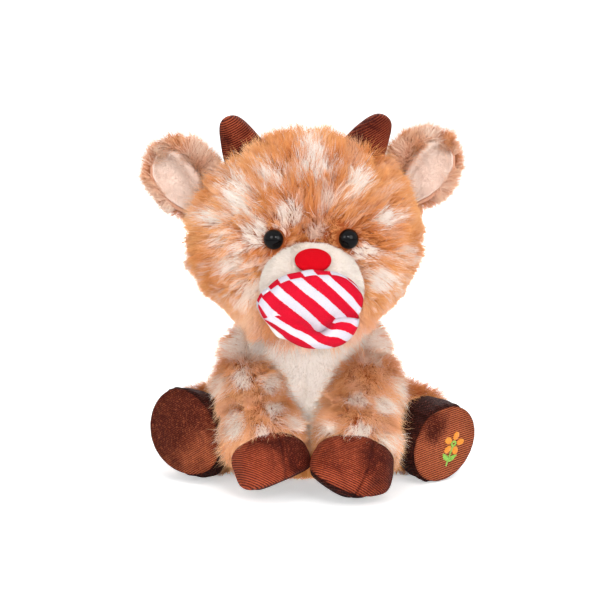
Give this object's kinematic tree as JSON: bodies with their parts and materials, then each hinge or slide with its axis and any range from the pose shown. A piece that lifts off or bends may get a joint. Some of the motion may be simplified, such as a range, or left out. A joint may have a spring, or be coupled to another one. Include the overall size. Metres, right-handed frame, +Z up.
{
  "type": "plush deer",
  "caption": "Seated plush deer with spotted fur, velour horns and hooves, a red felt nose and a striped stuffed ring at its mouth.",
  "frame": {"origin": "on the surface that the toy sits on, under the middle of its neck, on the flat of its seat", "axes": "+Z up, -Y the way the deer faces, +X to the deer's own left"},
  "size_m": [0.1775, 0.1552, 0.198],
  "materials": {
    "spotted_fur": "long tan pile with cream spots",
    "cream_plush": "short cream pile",
    "ear_plush": "short pinkish cream pile",
    "brown_velour": "ribbed brown velour with a sheen",
    "dark_velour": "ribbed dark brown velour",
    "red_felt": "felt",
    "striped_plush": "smooth plush with red and white stripes",
    "eye_gloss": "polished",
    "washer_plastic": "moulded",
    "fibre_fill": "loose polyester fibre",
    "red_thread": "twisted thread",
    "embroidery_thread": "satin stitch"
  },
  "bodies": {
    "torso": {"torso_cover": "spotted_fur", "torso_stuffing": "fibre_fill", "belly_panel_left": "cream_plush", "belly_panel_right": "cream_plush"},
    "neck": {"neck_stuffing": "fibre_fill"},
    "head": {"head_cover": "spotted_fur", "head_stuffing": "fibre_fill", "muzzle_cover": "cream_plush", "nose_pad": "red_felt", "eye_left": "eye_gloss", "eye_right": "eye_gloss", "eye_washer_left": "washer_plastic", "eye_washer_right": "washer_plastic", "horn_left": "brown_velour", "horn_right": "brown_velour", "ring_tack": "red_thread"},
    "ring": {"ring_front_panel": "striped_plush", "ring_back_panel": "striped_plush", "ring_stuffing": "fibre_fill"},
    "tail": {"tail_cover": "spotted_fur"},
    "ear_left": {"ear_back_left": "spotted_fur", "ear_lining_left": "ear_plush"},
    "foreleg_left": {"foreleg_cover_left": "spotted_fur", "foreleg_stuffing_left": "fibre_fill", "front_hoof_left": "brown_velour", "front_sole_left": "dark_velour"},
    "hindleg_left": {"hindleg_cover_left": "spotted_fur", "hindleg_stuffing_left": "fibre_fill", "hind_hoof_left": "dark_velour", "hind_sole_left": "brown_velour", "sole_embroidery": "embroidery_thread"},
    "ear_right": {"ear_back_right": "spotted_fur", "ear_lining_right": "ear_plush"},
    "foreleg_right": {"foreleg_cover_right": "spotted_fur", "foreleg_stuffing_right": "fibre_fill", "front_hoof_right": "brown_velour", "front_sole_right": "dark_velour"},
    "hindleg_right": {"hindleg_cover_right": "spotted_fur", "hindleg_stuffing_right": "fibre_fill", "hind_hoof_right": "dark_velour", "hind_sole_right": "brown_velour"}
  },
  "joints": [
    {"name": "neck_turn", "type": "hinge", "parent": "torso", "child": "neck", "pos_m": [0, 0, 0.077], "axis": [0, 0, 1], "range_deg": [-30, 30], "stiffness_Nm_per_rad": 0.3},
    {"name": "neck_nod", "type": "hinge", "parent": "neck", "child": "head", "pos_m": [0, 0, 0.077], "axis": [0.999, 0.0436, 0], "range_deg": [-8, 8], "stiffness_Nm_per_rad": 0.6},
    {"name": "ring_swing", "type": "hinge", "parent": "head", "child": "ring", "pos_m": [0.00329, -0.07532, 0.121], "axis": [-0.999, -0.0436, 0], "range_deg": [0, 25]},
    {"name": "tail_lift", "type": "hinge", "parent": "torso", "child": "tail", "pos_m": [0, 0.043, 0.021], "axis": [1, 0, 0], "range_deg": [-15, 20], "stiffness_Nm_per_rad": 0.02},
    {"name": "ear_left_fold", "type": "hinge", "parent": "head", "child": "ear_left", "pos_m": [0.05377, 0.00635, 0.1485], "axis": [0.8184, 0.0357, -0.5736], "range_deg": [-20, 20], "stiffness_Nm_per_rad": 0.03},
    {"name": "shoulder_left_lift", "type": "hinge", "parent": "torso", "child": "foreleg_left", "pos_m": [0.0325, -0.016, 0.053], "axis": [-1, 0, 0], "range_deg": [0, 18], "stiffness_Nm_per_rad": 0.06},
    {"name": "hip_left_splay", "type": "hinge", "parent": "torso", "child": "hindleg_left", "pos_m": [0.038, 0.02, 0.024], "axis": [0, 0, 1], "range_deg": [0, 20], "stiffness_Nm_per_rad": 0.08},
    {"name": "ear_right_fold", "type": "hinge", "parent": "head", "child": "ear_right", "pos_m": [-0.05412, 0.00164, 0.1485], "axis": [0.8184, 0.0357, 0.5736], "range_deg": [-20, 20], "stiffness_Nm_per_rad": 0.03},
    {"name": "shoulder_right_lift", "type": "hinge", "parent": "torso", "child": "foreleg_right", "pos_m": [-0.0325, -0.016, 0.053], "axis": [-1, 0, 0], "range_deg": [0, 18], "stiffness_Nm_per_rad": 0.06},
    {"name": "hip_right_splay", "type": "hinge", "parent": "torso", "child": "hindleg_right", "pos_m": [-0.038, 0.02, 0.024], "axis": [0, 0, -1], "range_deg": [0, 20], "stiffness_Nm_per_rad": 0.08}
  ]
}
